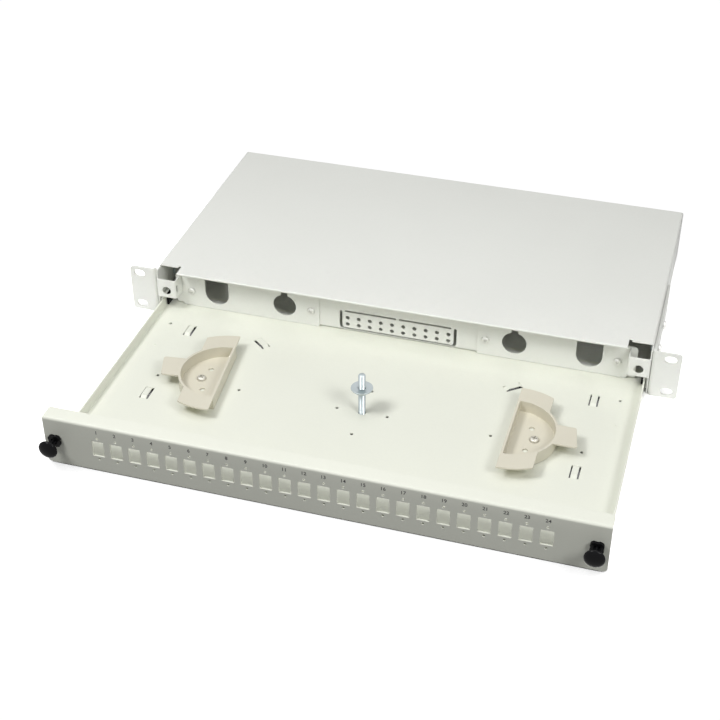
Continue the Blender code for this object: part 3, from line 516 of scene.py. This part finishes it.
def lathe(around, rows, radius_of, height_of):
    """A closed turned form: a sheet wrapped about Z, whose rows run down the profile."""
    sheet = steel.node(
        "GeometryNodeMeshGrid", {}, {"Vertices X": around + 1, "Vertices Y": rows}, "Mesh"
    )
    point = steel.node(
        "ShaderNodeSeparateXYZ", {}, {0: steel.node("GeometryNodeInputPosition", {}, {})}, "X"
    )
    turn = point + 0.5
    down = 0.5 - Wire(screw_tree, point.socket.node.outputs["Y"])
    radius = radius_of(turn, down)
    angle = turn * (2 * math.pi)
    wrapped = steel.node(
        "ShaderNodeCombineXYZ",
        {},
        {
            0: radius * angle.maths("COSINE"),
            1: radius * angle.maths("SINE"),
            2: height_of(down),
        },
    )
    shaped = steel.node("GeometryNodeSetPosition", {}, {"Geometry": sheet, "Position": wrapped})
    return steel.node("GeometryNodeMergeByDistance", {}, {"Geometry": shaped, "Distance": 2e-6})


def dome_angle(down):
    """A quarter turn from the head's top to its rim, which is reached at 0.88 of the rows."""
    return (down * (math.pi / 2 / 0.88)).maths("MINIMUM", math.pi / 2)


def head_radius(turn, down):
    closed = down.maths("LESS_THAN", 0.97)
    return given["Head Radius"] * closed * dome_angle(down).maths("SINE").maths("POWER", 0.62)


def head_height(down):
    fall = dome_angle(down).maths("COSINE").maths("MAXIMUM", 0.0)
    return given["Head Height"] * fall.maths("POWER", 0.72)


def thread_radius(turn, down):
    """A sharp rolled thread: its crest climbs by one pitch a turn."""
    along = down * given["Shank Length"]
    phase = along.maths("DIVIDE", given["Thread Pitch"]) + turn
    groove = given["Thread Pitch"] * (phase.maths("FRACT") - 0.5).maths("ABSOLUTE")
    inside = down.maths("GREATER_THAN", 0.001) * down.maths("LESS_THAN", 0.999)
    return (given["Shank Radius"] - groove) * inside


def shank_height(down):
    return down * given["Shank Length"] * -1.0


head_sides = 28
head_rows = 15
shank_sides = 18
head = lathe(head_sides, head_rows, head_radius, head_height)
arm_share = 0.22
arms = []
for quarter in (0.0, math.pi / 2):
    arm_size = steel.node(
        "ShaderNodeCombineXYZ",
        {},
        {
            0: given["Recess Width"],
            1: given["Recess Width"] * arm_share,
            2: given["Head Height"] * 1.3,
        },
    )
    arm = steel.node("GeometryNodeMeshCube", {}, {"Size": arm_size}, "Mesh")
    lift = steel.node("ShaderNodeCombineXYZ", {}, {2: given["Head Height"] * 1.05})
    arms.append(
        steel.node(
            "GeometryNodeTransform",
            {},
            {"Geometry": arm, "Translation": lift, "Rotation": (0.0, 0.0, quarter)},
        )
    )
recessed = screw_tree.nodes.new("GeometryNodeMeshBoolean")
recessed.operation = "DIFFERENCE"
recessed.solver = "EXACT"
screw_tree.links.new(head.socket, recessed.inputs["Mesh 1"])
for arm in arms:
    screw_tree.links.new(arm.socket, recessed.inputs["Mesh 2"])
shank = lathe(shank_sides, given["Thread Rows"], thread_radius, shank_height)
joined = screw_tree.nodes.new("GeometryNodeJoinGeometry")
screw_tree.links.new(recessed.outputs["Mesh"], joined.inputs["Geometry"])
screw_tree.links.new(shank.socket, joined.inputs["Geometry"])
axis = steel.node(
    "GeometryNodeInputNamedAttribute", {"data_type": "FLOAT_VECTOR"}, {"Name": "axis"}
)
upright = steel.node("FunctionNodeAlignRotationToVector", {"axis": "Z"}, {"Vector": axis})
driven = steel.node(
    "FunctionNodeRandomValue", {"data_type": "FLOAT"}, {2: 0.0, 3: math.pi, "Seed": 7}, 1
)
spin = steel.node(
    "FunctionNodeAxisAngleToRotation", {}, {"Axis": (0.0, 0.0, 1.0), "Angle": driven}
)
turned = steel.node(
    "FunctionNodeRotateRotation",
    {"rotation_space": "LOCAL"},
    {"Rotation": upright, "Rotate By": spin},
)
placed = steel.node(
    "GeometryNodeInstanceOnPoints",
    {},
    {
        "Points": given["Places"],
        "Instance": Wire(screw_tree, joined.outputs["Geometry"]),
        "Rotation": turned,
    },
)
plated = steel.node(
    "GeometryNodeSetMaterial",
    {},
    {
        "Geometry": steel.node("GeometryNodeRealizeInstances", {}, {"Geometry": placed}),
        "Material": given["Plating"],
    },
)
screw_tree.links.new(
    plated.socket, screw_tree.nodes.new("NodeGroupOutput").inputs["Screws"]
)


def screws(name, body, nodes, axis_of, head_share, thread, recess, plating):
    """Screws in place of the named nodes. head_share is the head's height over its width,
    and thread is the shank's width and its pitch."""
    thread_width, thread_pitch = thread
    rows_each_turn = 6
    data = bpy.data.meshes.new(name)
    seats = []
    axes = []
    for node in nodes:
        low, high = (Vector(end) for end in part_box(node))
        out = Vector(axis_of(node))
        reach = abs((high - low).dot(out))
        width = max(value for value, way in zip((high - low)[:], out[:]) if not way)
        head = width * head_share
        middle = (low + high) / 2
        seats.append(middle + out * (reach / 2 - head))
        axes.append(out)
    data.from_pydata(seats, [], [])
    data.attributes.new("axis", "FLOAT_VECTOR", "POINT").data.foreach_set(
        "vector", [value for out in axes for value in out]
    )
    holder = bpy.data.objects.new(name, data)
    scene.collection.objects.link(holder)
    maker = holder.modifiers.new("screws", "NODES")
    maker.node_group = screw_tree
    for title, value in (
        ("Head Radius", width / 2),
        ("Head Height", head),
        ("Shank Radius", thread_width / 2),
        ("Shank Length", reach - head),
        ("Thread Pitch", thread_pitch),
        ("Thread Rows", int((reach - head) / thread_pitch * rows_each_turn)),
        ("Recess Width", recess),
        ("Plating", plating),
    ):
        maker[screw_inputs[title]] = value
    graph = bpy.context.evaluated_depsgraph_get()
    made = bpy.data.meshes.new_from_object(holder.evaluated_get(graph))
    mesh = bmesh.new()
    mesh.from_mesh(made)
    bmesh.ops.recalc_face_normals(mesh, faces=mesh.faces)
    bpy.data.objects.remove(holder)
    bpy.data.meshes.remove(made)
    piece = dress(name, mesh, body, plating, 0.0, 2, 32)
    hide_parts(*nodes)


screws(
    "ear_screws",
    "housing",
    [f"ear_screw_{side}_{i}" for side in ("left", "right") for i in (1, 2)],
    lambda node: (-1, 0, 0) if "left" in node else (1, 0, 0),
    0.36,
    (0.004, 0.0007),
    0.0038,
    nickel,
)
screws(
    "entry_plate_screws",
    "drawer",
    [f"entry_plate_screw_{side}_{i}" for side in ("left", "right") for i in (1, 2)],
    lambda node: (0, -1, 0),
    0.30,
    (0.003, 0.0005),
    0.0034,
    nickel,
)
screws(
    "guide_screws",
    "drawer",
    ["guide_screw_left", "guide_screw_right"],
    lambda node: (0, 0, 1),
    0.30,
    (0.004, 0.0007),
    0.0046,
    nickel_with_painted_reflection,
)
for side in ("left", "right"):
    for index in (1, 2):
        node = f"ear_nut_{side}_{index}"
        nut = dress("plated_" + node, merged_copy(node), "housing", zinc, 0.00015)
        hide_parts(node)
